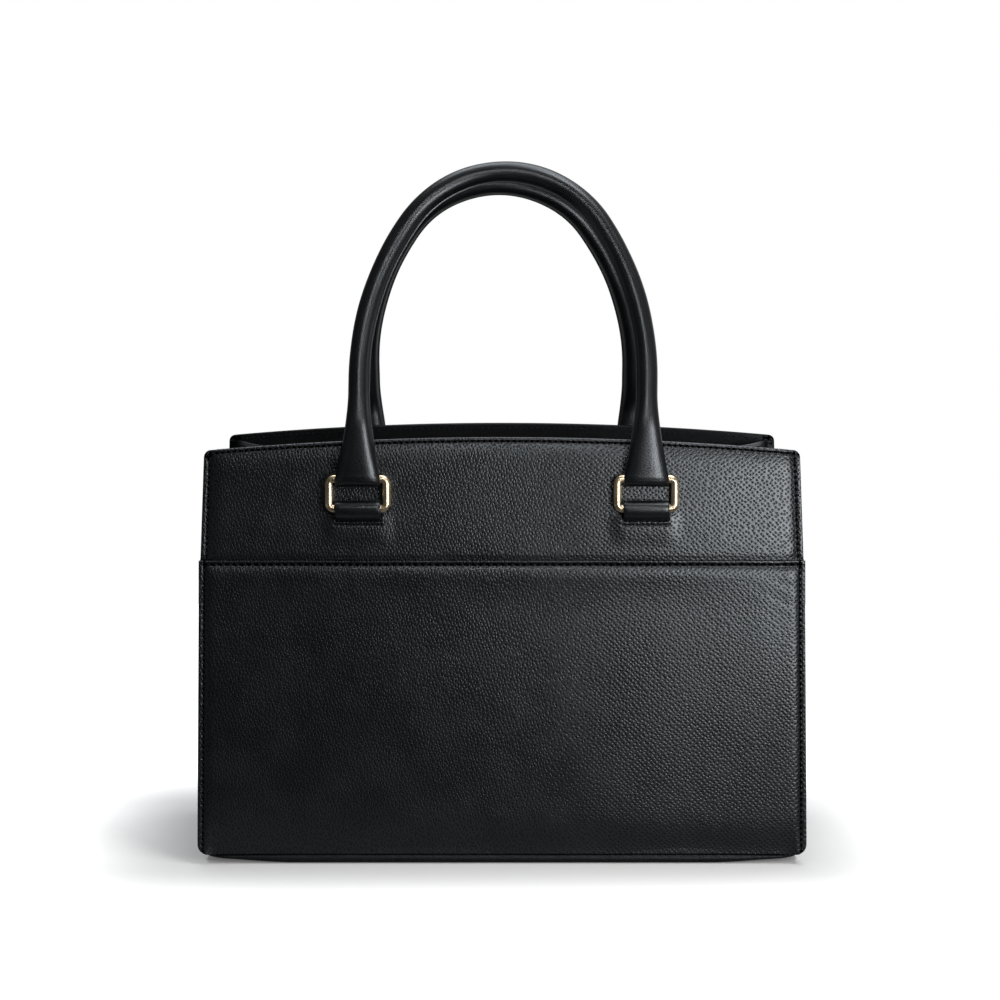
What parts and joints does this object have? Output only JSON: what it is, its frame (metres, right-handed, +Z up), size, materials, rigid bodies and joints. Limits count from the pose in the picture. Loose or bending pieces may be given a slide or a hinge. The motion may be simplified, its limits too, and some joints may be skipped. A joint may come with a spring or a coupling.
{
  "type": "top handle bag",
  "caption": "Structured black leather top handle bag with an open top, folded side gussets, a lapped yoke seam and arched rolled handles on rectangular metal rings.",
  "frame": {"origin": "on the floor under the middle of the bag's base", "axes": "+Z up, +X to the right seen from the front, the front wall faces -Y"},
  "size_m": [0.3088, 0.1396, 0.3545],
  "materials": {
    "grained_leather": "pebble grain, satin",
    "facing_leather": "fine grain, matte",
    "smooth_leather": "smooth, semi-gloss",
    "gold_metal": "polished pale gold",
    "snap_metal": "satin",
    "lining_cloth": "woven twill",
    "board": "fibre board",
    "core_cord": "twisted cord"
  },
  "bodies": {
    "bag": {"front_yoke": "grained_leather", "front_lower_panel": "grained_leather", "back_yoke": "grained_leather", "back_lower_panel": "grained_leather", "left_gusset": "grained_leather", "right_gusset": "grained_leather", "base_panel": "grained_leather", "front_facing": "facing_leather", "back_facing": "facing_leather", "front_left_chape": "smooth_leather", "front_right_chape": "smooth_leather", "rear_left_chape": "smooth_leather", "rear_right_chape": "smooth_leather", "snap_socket": "snap_metal", "snap_stud": "snap_metal", "front_lining": "lining_cloth", "back_lining": "lining_cloth", "left_lining": "lining_cloth", "right_lining": "lining_cloth", "base_lining": "lining_cloth", "base_board": "board", "front_stiffener": "board", "back_stiffener": "board"},
    "front_rings": {"front_left_ring": "gold_metal", "front_right_ring": "gold_metal"},
    "front_handle": {"front_handle_cover": "smooth_leather", "front_handle_core": "core_cord"},
    "rear_rings": {"rear_left_ring": "gold_metal", "rear_right_ring": "gold_metal"},
    "rear_handle": {"rear_handle_cover": "smooth_leather", "rear_handle_core": "core_cord"}
  },
  "joints": [
    {"name": "front_ring_swing", "type": "hinge", "parent": "bag", "child": "front_rings", "pos_m": [0, -0.06513, 0.18105], "axis": [1, 0, 0], "range_deg": [0, 90]},
    {"name": "front_handle_swing", "type": "hinge", "parent": "front_rings", "child": "front_handle", "pos_m": [0, -0.06478, 0.19585], "axis": [1, 0, 0], "range_deg": [0, 90]},
    {"name": "rear_ring_swing", "type": "hinge", "parent": "bag", "child": "rear_rings", "pos_m": [0, 0.06513, 0.18105], "axis": [-1, 0, 0], "range_deg": [0, 90]},
    {"name": "rear_handle_swing", "type": "hinge", "parent": "rear_rings", "child": "rear_handle", "pos_m": [0, 0.06478, 0.19585], "axis": [-1, 0, 0], "range_deg": [0, 90]}
  ]
}
